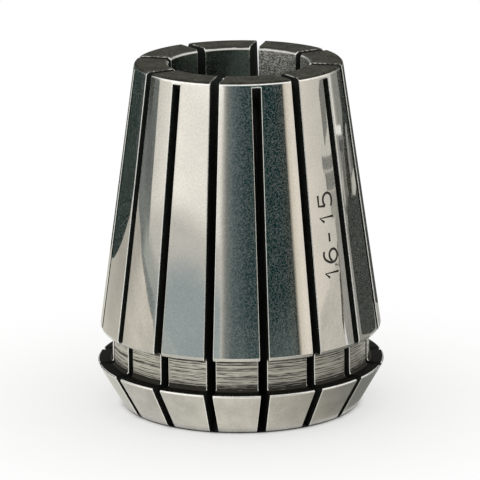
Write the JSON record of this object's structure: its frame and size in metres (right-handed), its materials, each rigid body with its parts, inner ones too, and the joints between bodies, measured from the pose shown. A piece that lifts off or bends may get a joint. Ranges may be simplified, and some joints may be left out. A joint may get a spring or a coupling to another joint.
{
  "type": "er collet",
  "caption": "Tapered spring collet, slotted from both ends, that clamps a round shank in a tool holder.",
  "frame": {"origin": "centre of the front face, on the bore's axis; the collet stands on that face", "axes": "+Z along the bore axis, from the nose to the narrow rear end; +X through a slot that is open at the rear"},
  "size_m": [0.033, 0.033, 0.04],
  "materials": {
    "ground_steel": "hardened spring steel, taper ground bright, rear face and slots dark oxide"
  },
  "bodies": {
    "root": {"collet": "ground_steel"}
  },
  "joints": []
}
